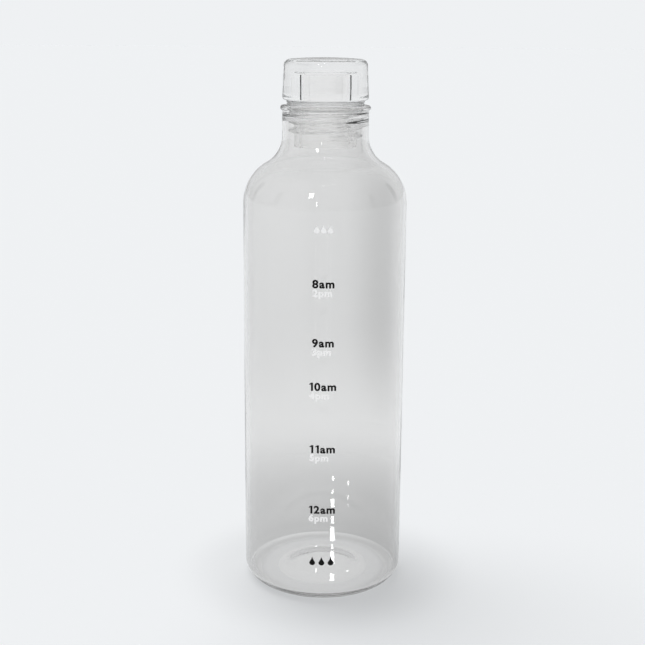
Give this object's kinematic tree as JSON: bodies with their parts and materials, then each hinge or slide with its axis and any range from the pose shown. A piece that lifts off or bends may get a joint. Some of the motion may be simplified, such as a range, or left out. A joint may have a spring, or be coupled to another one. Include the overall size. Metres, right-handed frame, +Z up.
{
  "type": "glass water bottle",
  "caption": "Clear round glass water bottle with a straight body, curved shoulder, rolled rim and a clear knob-topped stopper that screws into the neck.",
  "frame": {"origin": "centre of the base, on the surface that the bottle stands on", "axes": "+Z up the bottle's axis to the knob, -Y towards the printed front, +X to the right seen from the front"},
  "size_m": [0.08, 0.08, 0.2627],
  "materials": {
    "glass": "clear, polished, with printed hour marks on the front",
    "clear_knob": "clear polished acrylic",
    "clear_plug": "clear moulded plastic",
    "silicone": "soft translucent silicone"
  },
  "bodies": {
    "bottle": {"bottle": "glass"},
    "seal": {"seal_ring": "silicone"},
    "lid": {"lid_knob": "clear_knob", "lid_plug": "clear_plug"}
  },
  "joints": [
    {"name": "lid_rise", "type": "slide", "parent": "bottle", "child": "seal", "axis": [0, 0, 1], "range_m": [0, 0.02521]},
    {"name": "lid_turn", "type": "hinge", "parent": "seal", "child": "lid", "pos_m": [0, 0, 0.2425], "axis": [0, 0, 1], "range_deg": [0, 2160]}
  ],
  "couplings": [
    {"joint": "lid_rise", "follows": "lid_turn", "m_per_rad": 0.00066845}
  ]
}
